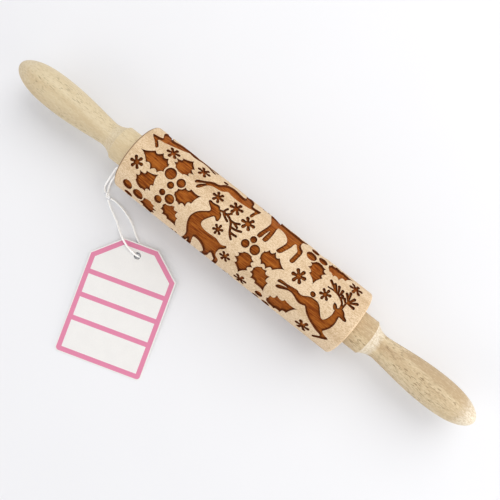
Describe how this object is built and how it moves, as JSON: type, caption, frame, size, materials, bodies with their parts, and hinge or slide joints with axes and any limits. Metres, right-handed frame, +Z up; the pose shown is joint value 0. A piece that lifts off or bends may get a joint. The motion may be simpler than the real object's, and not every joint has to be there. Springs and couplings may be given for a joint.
{
  "type": "rolling pin",
  "caption": "Wooden rolling pin with a deeply engraved barrel that turns on a steel rod between turned handles, with a card tag on a cord loop.",
  "frame": {"origin": "on the plane that the pin rests on, under the middle of the barrel", "axes": "+X along the pin, towards the handle without the tag; +Z up; the tag lies towards -Y"},
  "size_m": [0.355, 0.1536, 0.0448],
  "materials": {
    "barrel_wood": "fine sanded pale beech, bare, with burnt brown engraving",
    "handle_wood": "fine sanded pale beech, bare",
    "steel": "turned bright steel",
    "nylon": "matt white plastic",
    "brass": "turned brass",
    "cord": "white satin cord",
    "card": "matt white card with a printed pink border"
  },
  "bodies": {
    "handles": {"axle_rod": "steel", "handle_left": "handle_wood", "handle_right": "handle_wood", "insert_left": "brass", "insert_right": "brass", "washer_left": "steel", "washer_right": "steel", "handle_string": "cord", "tag_string": "cord", "string_knot": "cord"},
    "barrel": {"barrel": "barrel_wood", "bush_left": "nylon", "bush_right": "nylon"},
    "tag": {"hang_tag": "card"}
  },
  "joints": [
    {"name": "barrel_spin", "type": "hinge", "parent": "handles", "child": "barrel", "pos_m": [0, 0, 0.02241], "axis": [1, 0, 0], "continuous": true},
    {"name": "tag_swing", "type": "hinge", "parent": "handles", "child": "tag", "pos_m": [-0.0484, -0.0504, 0.0022], "axis": [0, 0, 1], "range_deg": [-20, 20]}
  ]
}
